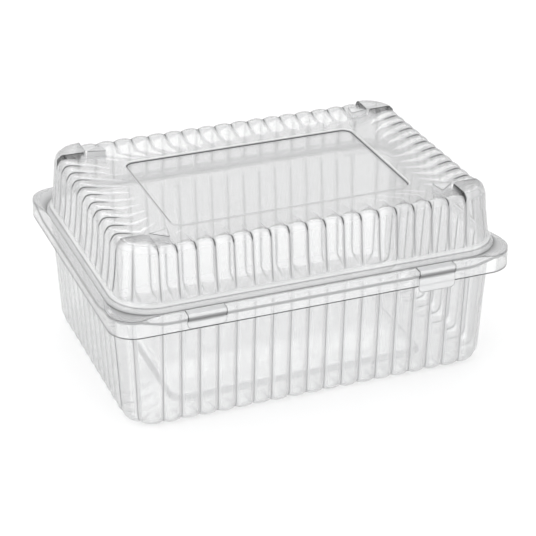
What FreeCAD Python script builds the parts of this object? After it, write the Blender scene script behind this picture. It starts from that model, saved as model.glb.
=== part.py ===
"""Hinged clamshell container, thermoformed from one clear sheet.

A deep ribbed base tray and a domed ribbed lid are joined by a living hinge along the back rim. Two latch
tabs on the lid's front edge snap over the base rim. Millimetres; X runs along the hinge, -Y is the front,
+Z is up. The origin is on the surface the tray stands on, below the middle of the closed container.

Every outline of the container is the same core rectangle grown outwards by a reach: the reach is small
where the ribs fade out, and largest at the rim. The walls' corner rounds are centred on the core's corners;
the rim has tighter corners of its own, which stand out as ears. The parts are drawn round the core, and the
finished nodes are moved forward by half of what the rim reaches further at the hinge.
"""
import FreeCAD, Part  # noqa: E401
import math
import os

# ---------------------------------------------------------------- driving dimensions

SIZES = [
    ("rib_pitch", 10.0, "width of one rib"),
    ("ribs_long", 17, "ribs along the front and the back"),
    ("ribs_short", 11, "ribs along each short side"),
    ("ribs_corner", 2, "ribs round each corner"),
    ("wall", 0.4, "thickness of the formed sheet"),
    ("rib_depth", 2.0, "how far a rib's crown stands out of its creases"),
    ("rim_height", 69.0, "top face of the base rim above the table"),
    ("rim_reach", 27.0, "outer edge of the rim"),
    ("rim_corner", 14.5, "corner radius of the rim's outer edge"),
    ("hinge_reach", 6.5, "how much further the rim reaches behind the core than in front of it"),
    ("skirt_drop", 9.3, "height of the skirt under the rim"),
    ("relief_drop", 3.3, "how far the rim's outer edge is stepped down between the corner ears"),
    ("relief_long", 84.0, "half length of the step along the front"),
    ("relief_short", 50.0, "half length of the step along a short side"),
    ("base_top_reach", 22.0, "base wall where it meets the rim"),
    ("base_foot_reach", 18.5, "base wall where it turns under"),
    ("base_turn", 6.0, "height of the turn from the wall to the underside"),
    ("base_fade", 4.0, "height over which the base ribs fade out under the rim"),
    ("floor_x", 73.5, "half length of the raised floor panel"),
    ("floor_y", 52.0, "half width of the raised floor panel"),
    ("floor_lift", 3.0, "rise of the floor panel"),
    ("lid_gap", 0.3, "clearance between the two rims when the lid is shut"),
    ("lid_height", 33.3, "crowns of the lid ribs above the base rim"),
    ("lid_foot_reach", 21.0, "lid wall where it meets the lid flange"),
    ("lid_foot_rise", 4.2, "height of the lid flange's slope"),
    ("lid_fade", 3.0, "height over which the lid ribs fade out at their foot"),
    ("lid_shoulder_reach", 18.0, "lid wall where it turns into the shoulder"),
    ("lid_turn", 4.6, "radius of the lid shoulder"),
    ("top_sink", 3.1, "flat top below the rib crowns"),
    ("fade_reach", 2.0, "reach at which the ribs end on the top and on the underside"),
    ("panel_x", 67.7, "half length of the recessed top panel"),
    ("panel_y", 42.6, "half width of the recessed top panel"),
    ("panel_corner", 6.0, "corner radius of the recessed top panel"),
    ("panel_sink", 1.0, "depth of the recessed top panel"),
    ("lug_rise", 1.3, "height of the stacking lugs above the rib crowns"),
    ("lug_gap", 2.0, "width of the notch that parts the two halves of a stacking lug"),
    ("fan_radius", 11.0, "radius of the inner half of a stacking lug"),
    ("hinge_half", 70.0, "half length of the living hinge"),
    ("latch_x", 64.0, "middle of a latch tab from the middle of the front"),
    ("latch_width", 21.0, "width of a latch tab"),
    ("latch_stand", 0.9, "clearance between a latch tab and the base skirt"),
    ("button_stand", 0.8, "how far a latch button stands out of its tab"),
    ("button_height", 3.4, "height of a latch button"),
    ("barb_gap", 0.3, "clearance between a latch barb and the base skirt"),
    ("latch_long_drop", 12.2, "how far the right latch tab hangs below the base rim"),
    ("latch_short_drop", 8.0, "how far the left latch tab hangs below the base rim"),
    ("latch_gap", 0.3, "clearance between the lid's edge and a latch tab"),
    ("slot_height", 1.8, "height of the catch slot in the base skirt"),
]
FLAT = 1e-6  # a rib depth below this is drawn as a straight line
SEAM = 1e-4  # tolerance with which the faces of a skin are joined

doc = FreeCAD.newDocument("clamshell")
sheet = doc.addObject("Spreadsheet::Sheet", "sizes")
for row, (name, value, meaning) in enumerate(SIZES, start=1):
    sheet.set(f"A{row}", meaning)
    sheet.set(f"B{row}", str(value))
    sheet.setAlias(f"B{row}", name)
doc.recompute()


def size(name):
    return float(sheet.get(name))


def count(name):
    return int(round(size(name)))


wall = size("wall")
core_x = size("rib_pitch") * size("ribs_long") / 2
core_y = size("rib_pitch") * size("ribs_short") / 2
CORE_X = "sizes.rib_pitch * sizes.ribs_long / 2"
CORE_Y = "sizes.rib_pitch * sizes.ribs_short / 2"


# ---------------------------------------------------------------- ribbed shells

class Level:
    """One turn round a ribbed wall: where the rib crowns are, how deep the creases, which way they face."""

    def __init__(self, reach, height, depth, facing):
        self.reach = reach
        self.height = height
        self.depth = depth
        self.out = math.cos(math.radians(facing))
        self.up = math.sin(math.radians(facing))

    def inward(self, thickness):
        inner = Level(self.reach - thickness * self.out, self.height - thickness * self.up, self.depth, 0)
        inner.out, inner.up = self.out, self.up
        return inner


class Station:
    """A vertical plane that cuts the wall, at a crease or at a crown."""

    def __init__(self, x, y, away_x, away_y, offset=0.0):
        self.x, self.y = x, y
        self.away_x, self.away_y = away_x, away_y
        self.offset = offset

    def point(self, reach, height):
        if reach > 2 * self.offset:
            reach = math.sqrt(reach**2 - self.offset**2)
        return FreeCAD.Vector(self.x + reach * self.away_x, self.y + reach * self.away_y, height)

    def crease(self, level):
        return self.point(level.reach - level.depth * level.out, level.height - level.depth * level.up)

    def crown(self, level):
        return self.point(level.reach, level.height)


def side_stations(half_along, half_across, ribs, offset, to_xy):
    """Creases and crowns along one straight side, left to right. to_xy turns them to their own side."""
    pitch = 2 * half_along / ribs
    ends = half_along + offset
    creases = [-ends] + [-half_along + pitch * i for i in range(1, ribs)] + [ends]
    crowns = [(a + b) / 2 for a, b in zip(creases, creases[1:])]
    make = lambda along, shift: Station(*to_xy(along, -half_across), *to_xy(0.0, -1.0), shift)  # noqa: E731
    shifts = [offset] + [0.0] * (ribs - 1) + [offset]
    return [make(a, s) for a, s in zip(creases, shifts)], [make(a, 0.0) for a in crowns]


def ring_of_ribs(offset):
    """(kind, left crease, crown, right crease) of every rib, counter-clockwise from the front left."""
    turns = [
        lambda u, v: (u, v),
        lambda u, v: (-v, u),
        lambda u, v: (-u, -v),
        lambda u, v: (v, -u),
    ]
    ribs = []
    for quarter, turn in enumerate(turns):
        kind = "long" if quarter % 2 == 0 else "short"
        along, across = (core_x, core_y) if kind == "long" else (core_y, core_x)
        creases, crowns = side_stations(along, across, count("ribs_" + kind), offset, turn)
        ribs += [(kind, a, c, b) for a, c, b in zip(creases, crowns, creases[1:])]
        corner_x, corner_y = turn(along, -across)
        parts = 2 * count("ribs_corner")
        start = math.radians(90 * quarter - 90)
        fan = [
            Station(corner_x, corner_y, math.cos(start + math.pi / 2 * i / parts),
                    math.sin(start + math.pi / 2 * i / parts))
            for i in range(parts + 1)
        ]
        next_turn = turns[(quarter + 1) % 4]
        next_along, next_across = (across, along)
        fan[0] = creases[-1]
        fan[-1] = Station(*next_turn(-next_along - offset, -next_across), *next_turn(0.0, -1.0), offset)
        ribs += [("corner", fan[i], fan[i + 1], fan[i + 2]) for i in range(0, parts, 2)]
    return ribs


def rib_edge(kind, left, crown, right, level):
    a, b = left.crease(level), right.crease(level)
    if level.depth < FLAT and kind != "corner":
        return Part.LineSegment(a, b).toShape()
    return Part.Arc(a, crown.crown(level), b).toShape()


def rounded_edges(half_x, half_y, radius, height):
    """The eight edges of a level rounded rectangle, counter-clockwise."""
    edges = []
    bend = radius * math.sqrt(0.5)
    for quarter in range(4):
        turn = math.radians(90 * quarter)
        along, across = (half_x, half_y) if quarter % 2 == 0 else (half_y, half_x)

        def place(u, v):
            x = u * math.cos(turn) - v * math.sin(turn)
            y = u * math.sin(turn) + v * math.cos(turn)
            return FreeCAD.Vector(x, y, height)

        corner_u, corner_v = along - radius, -across + radius
        edges.append(Part.LineSegment(place(-corner_u, -across), place(corner_u, -across)).toShape())
        edges.append(
            Part.Arc(place(corner_u, -across), place(corner_u + bend, corner_v - bend),
                     place(along, corner_v)).toShape())
    return edges


def joined(edges):
    return Part.Wire(Part.__sortEdges__(edges))


def with_hole(outside, hole):
    return Part.makeFace([joined(outside), joined(hole)], "Part::FaceMakerBullseye")


def skin(levels, offset, panel):
    """Faces of one side of the sheet, and the wire where it starts.

    levels maps long, short and corner to their Levels, from the free edge to the flat where the ribs end.
    panel is (half length, half width, corner radius, height, slope) of the panel that closes the flat.
    """
    ribs = ring_of_ribs(offset)
    faces, start, end = [], [], []
    for kind, left, crown, right in ribs:
        rows = [rib_edge(kind, left, crown, right, level) for level in levels[kind]]
        faces += [Part.makeRuledSurface(low, high) for low, high in zip(rows, rows[1:])]
        start.append(rows[0])
        end.append(rows[-1])
    for (kind, _, _, seam), (next_kind, _, _, _) in zip(ribs, ribs[1:] + ribs[:1]):
        if kind == next_kind:
            continue
        near = [seam.crease(level) for level in levels[kind]]
        far = [seam.crease(level) for level in levels[next_kind]]
        split = next((i for i, (p, q) in enumerate(zip(near, far)) if (p - q).Length > FLAT), None)
        if split is None:
            continue
        loop = near[split - 1:] + far[split:][::-1]
        loop = [p for i, p in enumerate(loop) if (p - loop[i - 1]).Length > FLAT]
        faces.append(Part.Face(Part.makePolygon(loop + loop[:1])))
        if (near[-1] - far[-1]).Length > FLAT:
            end.append(Part.LineSegment(near[-1], far[-1]).toShape())
    half_x, half_y, radius, height, slope = panel
    flat = levels["long"][-1].height
    upper = rounded_edges(half_x, half_y, radius, flat)
    lower = rounded_edges(half_x - slope, half_y - slope, radius - slope, height)
    faces.append(with_hole(end, upper))
    faces += [Part.makeRuledSurface(a, b) for a, b in zip(upper, lower)]
    faces.append(Part.Face(joined(lower)))
    return faces, start


def sheet_solid(outer_levels, inner_levels, outer_panel, inner_panel, step):
    """A closed solid between the outer and the inner side of the sheet."""
    outer_faces, outer_start = skin(outer_levels, 0.0, outer_panel)
    inner_faces, inner_start = skin(inner_levels, step, inner_panel)
    shell = Part.makeShell(outer_faces + inner_faces + [with_hole(outer_start, inner_start)])
    shell.sewShape()
    solid = Part.makeSolid(shell)
    solid.fix(SEAM, SEAM, SEAM)
    return solid


def kinds(levels):
    return {"long": levels, "short": levels, "corner": levels}


def inside(levels):
    return [level.inward(wall) for level in levels]


# ---------------------------------------------------------------- primitives bound to the sheet

def bound(kind, name, placement=None, **expressions):
    """A Part primitive whose properties follow the sheet. placement is (x, y, z) as expressions."""
    thing = doc.addObject(kind, name)
    for prop, formula in expressions.items():
        thing.setExpression(prop, formula)
    for axis, formula in zip("xyz", placement or ()):
        thing.setExpression(f".Placement.Base.{axis}", formula)
    return thing


def combined(kind, name, *things):
    result = doc.addObject(kind, name)
    if kind == "Part::Cut":
        result.Base, result.Tool = things
    else:
        result.Shapes = list(things)
    result.Refine = True
    return result


def long_box(name, half_x, front, back, low, height):
    """A box from -front to +back, as wide as twice half_x."""
    return bound(
        "Part::Box", name, (f"-({half_x})", f"-({front})", low),
        Length=f"2 * ({half_x})", Width=f"{front} + {back}", Height=height)


def rounded_block(name, reach, low, height, corner=None, further="0 * sizes.wall"):
    """The core rectangle grown by reach, and by further at the back, as a plate with round corners."""
    corner = corner or reach
    square_x, square_y = f"({CORE_X} + {reach} - {corner})", f"({CORE_Y} + {reach} - {corner})"
    side = f"({CORE_Y} + {reach})"
    blocks = [
        long_box(name + "_across", square_x, side, f"({side} + {further})", low, height),
        long_box(name + "_along", f"({CORE_X} + {reach})", square_y, f"({square_y} + {further})", low, height),
    ]
    for index, (side_x, side_y) in enumerate(((1, 1), (-1, 1), (-1, -1), (1, -1))):
        shift = further if side_y > 0 else "0 * sizes.wall"
        blocks.append(bound(
            "Part::Cylinder", f"{name}_corner_{index}",
            (f"{side_x} * {square_x}", f"{side_y} * {square_y} + {shift}", low), Radius=corner, Height=height))
    return combined("Part::MultiFuse", name, *blocks)


def bevel(name, side, half_length, inset):
    """A bar turned by 45 degrees that cuts the step off the rim. side is front, left or right."""
    bar = bound(
        "Part::Box", name, Length=f"2 * ({half_length})",
        Width="4 * sizes.relief_drop", Height="4 * sizes.relief_drop")
    edge = "sizes.rim_reach - sizes.relief_drop"
    height = f"sizes.rim_height - {inset} / sqrt(2)"
    tilt = FreeCAD.Rotation(FreeCAD.Vector(1, 0, 0), 45)
    turns = {"front": 0, "right": 90, "left": -90}
    bar.Placement.Rotation = FreeCAD.Rotation(FreeCAD.Vector(0, 0, 1), turns[side]) * tilt
    # the bar's lower front edge lies outside the step; its lower face passes through the step's top edge
    out = f"{edge} - {inset} / sqrt(2) + 4 * sizes.relief_drop / sqrt(2)"
    base_z = f"{height} - 4 * sizes.relief_drop / sqrt(2)"
    places = {
        "front": (f"-({half_length})", f"-({CORE_Y} + {out})"),
        "right": (f"{CORE_X} + {out}", f"-({half_length})"),
        "left": (f"-({CORE_X} + {out})", f"{half_length}"),
    }
    for axis, formula in zip("xyz", places[side] + (base_z,)):
        bar.setExpression(f".Placement.Base.{axis}", formula)
    return bar


def bevels(name, inset):
    return [
        bevel(f"{name}_{side}", side, f"sizes.relief_{run} + {inset}", inset)
        for side, run in (("front", "long"), ("left", "short"), ("right", "short"))
    ]


# ---------------------------------------------------------------- base tray

depth = size("rib_depth")
rim_height = size("rim_height")
base_turn = size("base_turn")
foot = size("base_foot_reach")
top = size("base_top_reach")
turn_share = 1 - math.sqrt(0.5)


def base_levels():
    fade_height = rim_height - size("base_fade")
    return [
        Level(top, rim_height, 0, 0),
        Level(top - 0.3, fade_height, depth, 0),
        Level(foot, base_turn, depth, 0),
        Level(foot - base_turn * turn_share, base_turn * turn_share, depth, -45),
        Level(foot - base_turn, 0, depth, -90),
        Level(size("fade_reach"), 0, 0, -90),
    ]


base_skin = doc.addObject("Part::Feature", "base_skin")
floor_radius = size("panel_corner") + size("fade_reach")
floor_height = size("floor_lift")
base_skin.Shape = sheet_solid(
    kinds(base_levels()), kinds(inside(base_levels())),
    (size("floor_x"), size("floor_y"), floor_radius, floor_height, 1.5),
    (size("floor_x") - wall / 2, size("floor_y") - wall / 2, floor_radius, floor_height + wall, 1.5),
    wall)

skirt_low = "sizes.rim_height - sizes.skirt_drop"
rim_outside = rounded_block(
    "rim_outside", "sizes.rim_reach", skirt_low, "sizes.skirt_drop", "sizes.rim_corner", "sizes.hinge_reach")
rim_stepped = combined(
    "Part::Cut", "rim_stepped", rim_outside,
    combined("Part::MultiFuse", "step_bars", *bevels("step", "0")))
rim_inside = rounded_block(
    "rim_inside", "(sizes.rim_reach - sizes.wall)", skirt_low, "sizes.skirt_drop - sizes.wall",
    "(sizes.rim_corner - sizes.wall)", "sizes.hinge_reach")
rim_hollow = combined(
    "Part::Cut", "rim_hollow", rim_inside,
    combined("Part::MultiFuse", "hollow_bars", *bevels("hollow", "sizes.wall")))
rim_mouth = rounded_block(
    "rim_mouth", "(sizes.base_top_reach - sizes.wall / 2)", skirt_low, "sizes.skirt_drop + 1")
hinge_cut = bound(
    "Part::Box", "hinge_cut",
    ("-(sizes.hinge_half + 1)", f"{CORE_Y} + sizes.base_top_reach", skirt_low + " - 1"),
    Length="2 * (sizes.hinge_half + 1)", Width="sizes.rim_reach + sizes.hinge_reach",
    Height="sizes.skirt_drop - sizes.wall + 1")
slots = [
    bound(
        "Part::Box", f"catch_slot_{side}",
        (f"{sign} * sizes.latch_x - sizes.latch_width / 2 + 1", f"-({CORE_Y} + sizes.rim_reach + 1)",
         "sizes.rim_height - sizes.relief_drop - 0.6 - sizes.slot_height"),
        Length="sizes.latch_width - 2", Width="2", Height="sizes.slot_height")
    for side, sign in (("left", -1), ("right", 1))
]
rim_cuts = combined("Part::MultiFuse", "rim_cuts", rim_hollow, rim_mouth, hinge_cut, *slots)
base_rim = combined("Part::Cut", "base_rim", rim_stepped, rim_cuts)
base_tray = doc.addObject("Part::Fuse", "base_tray")
base_tray.Base, base_tray.Tool = base_rim, base_skin

# ---------------------------------------------------------------- lid

lid_low = rim_height + size("lid_gap")
crown_height = rim_height + size("lid_height")
lid_turn = size("lid_turn")
shoulder = size("lid_shoulder_reach")
edge_reach = size("rim_reach") - size("relief_drop")
top_height = crown_height - size("top_sink")
lug_height = crown_height + size("lug_rise")


def lid_wall():
    """Levels from the lid's edge up to the shoulder, the same on every side."""
    foot_reach, foot_height = size("lid_foot_reach"), lid_low + size("lid_foot_rise")
    return [
        Level(edge_reach, lid_low, 0, 60),
        Level(foot_reach, foot_height, 0, 45),
        Level(foot_reach - 0.4, foot_height + size("lid_fade"), depth, 0),
        Level(shoulder, crown_height - lid_turn, depth, 0),
    ]


def lid_shoulder():
    return [
        Level(shoulder - lid_turn * turn_share, crown_height - lid_turn * turn_share, depth, 45),
        Level(shoulder - lid_turn, crown_height, depth, 90),
        Level(size("fade_reach"), top_height, 0, 90),
    ]


def lug_cap():
    """The corner ribs run on up past the shoulder into the outer half of a stacking lug."""
    cap_reach = shoulder - 2.5
    return [
        Level(cap_reach + 1.2, lug_height - 1.2, depth / 2, 30),
        Level(cap_reach - 1.5, lug_height, 0, 90),
        Level(size("fade_reach") + size("lug_gap"), lug_height, 0, 90),
        Level(size("fade_reach"), top_height, 0, 90),
    ]


def lid_levels():
    side = lid_wall() + lid_shoulder()
    return {"long": side, "short": side, "corner": lid_wall() + lug_cap()}


def lid_inside():
    sides = {kind: inside(levels) for kind, levels in lid_levels().items()}
    for levels in sides.values():
        levels[0] = Level(edge_reach - 3 * wall, lid_low, 0, 0)
    notch = sides["corner"]
    notch[-2] = Level(size("fade_reach") + size("lug_gap") + wall, lug_height - wall, 0, 0)
    notch[-1] = Level(size("fade_reach") + wall, top_height - wall, 0, 0)
    return sides


lid_skin = doc.addObject("Part::Feature", "lid_skin")
panel = (size("panel_x"), size("panel_y"), size("panel_corner"), top_height - size("panel_sink"), 1.0)
inner_panel = (panel[0] + wall / 2, panel[1] + wall / 2, panel[2] + wall / 2, panel[3] - wall, panel[4])
lid_skin.Shape = sheet_solid(lid_levels(), lid_inside(), panel, inner_panel, wall)

LID_LOW = "sizes.rim_height + sizes.lid_gap"
EDGE_REACH = "(sizes.rim_reach - sizes.relief_drop)"
TOP_HEIGHT = "(sizes.rim_height + sizes.lid_height - sizes.top_sink)"
LUG_HEIGHT = "(sizes.rim_height + sizes.lid_height + sizes.lug_rise)"

flange_plate = rounded_block(
    "flange_plate", "sizes.rim_reach", LID_LOW, "sizes.wall", "sizes.rim_corner", "sizes.hinge_reach")
flange_mouth = rounded_block(
    "flange_mouth", "(sizes.rim_reach - sizes.relief_drop - sizes.wall)", "sizes.rim_height", "5")
front_step = bound(
    "Part::Box", "flange_step_front",
    ("-sizes.relief_long", f"-({CORE_Y} + sizes.rim_reach + 1)", "sizes.rim_height"),
    Length="2 * sizes.relief_long", Width="sizes.relief_drop + 1", Height="5")
side_steps = [
    bound(
        "Part::Box", f"flange_step_{side}", (x, "-sizes.relief_short", "sizes.rim_height"),
        Length="sizes.relief_drop + 1", Width="2 * sizes.relief_short", Height="5")
    for side, x in (("left", f"-({CORE_X} + sizes.rim_reach + 1)"), ("right", f"{CORE_X} + {EDGE_REACH}"))
]
lid_flange = combined(
    "Part::Cut", "lid_flange", flange_plate,
    combined("Part::MultiFuse", "flange_cuts", flange_mouth, front_step, *side_steps))


def fan(name, index, inset, low, height):
    """A quarter disc on a core corner that points at the middle of the lid."""
    side_x, side_y = ((1, 1), (-1, 1), (-1, -1), (1, -1))[index]
    piece = bound(
        "Part::Cylinder", f"{name}_{index}",
        (f"{side_x} * ({CORE_X} - {inset})", f"{side_y} * ({CORE_Y} - {inset})", low),
        Radius=f"sizes.fan_radius - 2.5 * ({inset})", Height=height)
    piece.Angle = 90
    piece.Placement.Rotation = FreeCAD.Rotation(FreeCAD.Vector(0, 0, 1), 180 + 90 * index)
    return piece


fans = [
    fan("lug_fan", i, "0 * sizes.wall", f"{TOP_HEIGHT} - sizes.wall / 2",
        f"{LUG_HEIGHT} - {TOP_HEIGHT} + sizes.wall / 2")
    for i in range(4)
]
fan_hollows = [
    fan("lug_hollow", i, "sizes.wall", f"{TOP_HEIGHT} - 2 * sizes.wall",
        f"{LUG_HEIGHT} - {TOP_HEIGHT} + sizes.wall")
    for i in range(4)
]
lid_whole = doc.addObject("Part::MultiFuse", "lid_whole")
lid_whole.Shapes = [lid_skin, lid_flange, *fans]
lid = doc.addObject("Part::Cut", "lid")
lid.Base = lid_whole
lid.Tool = combined("Part::MultiFuse", "lug_hollows", *fan_hollows)

# ---------------------------------------------------------------- latch tabs


def latch_tab(side, sign, drop):
    """A strip off the lid's front edge that turns down over the base skirt, with a button and a barb."""
    left = f"{sign} * sizes.latch_x - sizes.latch_width / 2"
    name = f"latch_tab_{side}"
    outside = f"{CORE_Y} + sizes.rim_reach + sizes.latch_stand + sizes.wall"
    root = f"{CORE_Y} + {EDGE_REACH} + sizes.latch_gap"
    strip = bound(
        "Part::Box", name + "_strip", (left, f"-({outside})", LID_LOW),
        Length="sizes.latch_width", Width=f"{outside} - ({root})", Height="sizes.wall")
    front = bound(
        "Part::Box", name + "_front", (left, f"-({outside})", f"sizes.rim_height - {drop}"),
        Length="sizes.latch_width", Width="sizes.wall", Height=f"{drop} + sizes.lid_gap + sizes.wall")
    button = bound(
        "Part::Box", name + "_button",
        (left, f"-({outside} + sizes.button_stand)",
         "sizes.rim_height + sizes.lid_gap + sizes.wall - sizes.button_height"),
        Length="sizes.latch_width", Width="sizes.button_stand + sizes.wall / 2", Height="sizes.button_height")
    barb = bound(
        "Part::Box", name + "_barb",
        (left + " + 1.5", f"-({outside} - sizes.wall / 2)",
         "sizes.rim_height - sizes.relief_drop - 0.6 - 0.75 * sizes.slot_height"),
        Length="sizes.latch_width - 3",
        Width="sizes.latch_stand - sizes.barb_gap + sizes.wall / 2", Height="sizes.slot_height / 2")
    return combined("Part::MultiFuse", name, strip, front, button, barb)


latch_tab_left = latch_tab("left", -1, "sizes.latch_short_drop")
latch_tab_right = latch_tab("right", 1, "sizes.latch_long_drop")

# ---------------------------------------------------------------- living hinge

# the web is as long as makes the hinge reach as far behind the rim as the buttons do in front of it
HINGE_WEB = "(sizes.latch_stand + sizes.button_stand - sizes.lid_gap / 2)"
RIM_BACK = f"{CORE_Y} + sizes.rim_reach + sizes.hinge_reach"
FOLD_OUT = "(sizes.lid_gap / 2 + sizes.wall)"


def hinge_fold(name, radius):
    """The half round of the fold, open towards the rims."""
    roll = bound(
        "Part::Cylinder", name,
        ("-sizes.hinge_half", f"{RIM_BACK} + {HINGE_WEB}", "sizes.rim_height + sizes.lid_gap / 2"),
        Radius=radius, Height="2 * sizes.hinge_half")
    roll.Angle = 180
    roll.Placement.Rotation = FreeCAD.Rotation(FreeCAD.Vector(0, 1, 0), 90)
    return roll


def hinge_web(name, low):
    return bound(
        "Part::Box", name, ("-sizes.hinge_half", RIM_BACK, low),
        Length="2 * sizes.hinge_half", Width=HINGE_WEB, Height="sizes.wall")


fold = combined(
    "Part::Cut", "hinge_roll", hinge_fold("hinge_outside", FOLD_OUT),
    hinge_fold("hinge_inside", "sizes.lid_gap / 2"))
living_hinge = combined(
    "Part::MultiFuse", "living_hinge", fold,
    hinge_web("hinge_web_base", "sizes.rim_height - sizes.wall"), hinge_web("hinge_web_lid", LID_LOW))

# ---------------------------------------------------------------- checks and export

NODES = [base_tray, lid, latch_tab_left, latch_tab_right, living_hinge]
for node in NODES:
    node.setExpression(".Placement.Base.y", "-sizes.hinge_reach / 2")
doc.recompute()
for thing in doc.Objects:
    bad = [state for state in thing.State if state in ("Invalid", "Error")]
    if bad:
        raise RuntimeError(f"{thing.Name} did not build: {bad}")
for node in NODES:
    if node.Shape.isNull() or not node.Shape.isValid() or len(node.Shape.Solids) != 1:
        raise RuntimeError(f"{node.Name} is not one valid solid")

os.makedirs("parts", exist_ok=True)
for node in NODES:
    node.Label = node.Name
    node.Shape.exportStep(f"parts/{node.Label}.step")
    box = node.Shape.BoundBox
    print(f"{node.Label}: {node.Shape.Volume:.0f} mm3, {len(node.Shape.Faces)} faces, "
          f"x {box.XMin:.1f} to {box.XMax:.1f}, y {box.YMin:.1f} to {box.YMax:.1f}, "
          f"z {box.ZMin:.1f} to {box.ZMax:.1f}")
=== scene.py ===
# %% [markdown]
# # A clear hinged clamshell container
#
# The real object is one thin sheet of clear plastic, drawn over a mould while warm. It has a ribbed base
# tray, a ribbed domed lid, a living hinge at the back and two latch tabs at the front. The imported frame
# already says where each of these is and how it moves. This lesson makes the looks: fine ribbed shells that
# stand in for the frame's plainer solids, a clear plastic finish, a pale floor, soft light and a camera.

# %% Load the frame
import bmesh
import bpy
import math
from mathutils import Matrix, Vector


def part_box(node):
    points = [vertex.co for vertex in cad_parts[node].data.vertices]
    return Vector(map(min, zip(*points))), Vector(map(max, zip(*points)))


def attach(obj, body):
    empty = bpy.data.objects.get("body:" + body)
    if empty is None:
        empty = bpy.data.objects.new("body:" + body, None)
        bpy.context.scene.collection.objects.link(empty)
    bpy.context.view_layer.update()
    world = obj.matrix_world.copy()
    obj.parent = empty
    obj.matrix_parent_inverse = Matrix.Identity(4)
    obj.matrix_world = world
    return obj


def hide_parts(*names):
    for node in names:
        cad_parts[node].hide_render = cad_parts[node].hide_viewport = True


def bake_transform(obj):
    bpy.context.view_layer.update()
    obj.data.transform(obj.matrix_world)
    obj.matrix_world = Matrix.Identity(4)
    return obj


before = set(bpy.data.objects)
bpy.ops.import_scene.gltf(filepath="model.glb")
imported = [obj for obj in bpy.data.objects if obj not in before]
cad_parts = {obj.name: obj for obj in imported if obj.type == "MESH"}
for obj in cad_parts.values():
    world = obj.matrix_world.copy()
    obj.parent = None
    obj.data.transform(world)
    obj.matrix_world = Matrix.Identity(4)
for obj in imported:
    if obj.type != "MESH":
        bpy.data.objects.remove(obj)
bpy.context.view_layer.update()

base_low, base_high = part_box("base_tray")
lid_low_corner, lid_high_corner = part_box("lid")
print("base", [round(v * 1000, 1) for v in (*base_low, *base_high)])
print("lid", [round(v * 1000, 1) for v in (*lid_low_corner, *lid_high_corner)])

# %% [markdown]
# ## Sizes
#
# The ribbed walls are one core rectangle grown outwards by a reach that changes with the height. The core is
# a whole number of ribs long and wide, and its corners are the centres of the walls' corner rounds. The
# rim's outer edge and the two panels are rounded rectangles of their own. Each size could be typed in as a
# place, but the main heights and the rim's reach are read from the frame instead, so that the shells follow
# the solids.

# %% Sizes in metres
MM = 0.001
PITCH = 10 * MM
RIBS_LONG, RIBS_SHORT, RIBS_CORNER = 17, 11, 2
CORE_X, CORE_Y = PITCH * RIBS_LONG / 2, PITCH * RIBS_SHORT / 2
WALL = 0.4 * MM
RIB_DEPTH = 1.25 * MM
RIM_TOP = base_high.z
RIM_REACH = base_high.x - CORE_X
RIM_STEP = 3.3 * MM
RIM_CORNER = 14.5 * MM
CORE_MID_Y = base_low.y + CORE_Y + RIM_REACH
HINGE_REACH = base_high.y - CORE_MID_Y - CORE_Y - RIM_REACH
EDGE_REACH = RIM_REACH - RIM_STEP
SKIRT_LOW = RIM_TOP - 9.3 * MM
LID_LOW = lid_low_corner.z
LUG_TOP = lid_high_corner.z
CROWN = LUG_TOP - 1.3 * MM
FLAT_TOP = CROWN - 3.1 * MM
print("rim reach", round(RIM_REACH / MM, 2), "rim top", round(RIM_TOP / MM, 2))
print("crowns", round(CROWN / MM, 2))

# %% [markdown]
# ## Columns: one turn round the container
#
# A ribbed wall is a net of columns and rows. A column is a place on the core rectangle, the direction in
# which the wall leaves it, and where in its rib it is: 0 and 1 at the creases, one half at the crown. The
# columns stand closer together near the creases, because the sheet bends most sharply there. An even grid
# would need many more points for the same sharpness.

# %% Columns
RIB_SHARES = [0.0, 0.03, 0.08, 0.17, 0.3, 0.5, 0.7, 0.83, 0.92, 0.97]


class Column:
    """A place on the core rectangle, with the wall's direction and the share of the rib it is in."""

    def __init__(self, quarter, along, angle, share, corner):
        turn = quarter * math.pi / 2
        half_run, half_deep = (CORE_X, CORE_Y) if quarter % 2 == 0 else (CORE_Y, CORE_X)
        u, v = along * half_run, -half_deep
        cos, sin = math.cos(turn), math.sin(turn)
        self.quarter, self.along, self.share, self.corner = quarter, along * half_run, share, corner
        self.half_run = half_run
        self.anchor = (u * cos - v * sin, u * sin + v * cos + CORE_MID_Y)
        self.away = (math.sin(turn + angle), -math.cos(turn + angle))
        self.angle = angle


def columns_round():
    found = []
    for quarter in range(4):
        ribs = RIBS_LONG if quarter % 2 == 0 else RIBS_SHORT
        for rib in range(ribs):
            for share in RIB_SHARES:
                along = 2 * (rib + share) / ribs - 1
                found.append(Column(quarter, along, 0.0, share, False))
        found.append(Column(quarter, 1.0, 0.0, 1.0, False))
        for rib in range(RIBS_CORNER):
            for share in RIB_SHARES:
                angle = (rib + share) / RIBS_CORNER * math.pi / 2
                found.append(Column(quarter, 1.0, angle, share, True))
        found.append(Column(quarter, 1.0, math.pi / 2, 1.0, True))
    return found


COLUMNS = columns_round()
print("columns round the container:", len(COLUMNS))

# %% [markdown]
# ## Rows: one section through the wall
#
# A row is a height and a reach, with the depth of the creases there and the direction the sheet faces. The
# section is drawn as straight runs with rounded corners, and a small helper rounds each corner with a few
# points, as the warm sheet does when it bends over the mould. A Bevel modifier could round them too, but
# here both skins of the sheet need the same rows.


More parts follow.
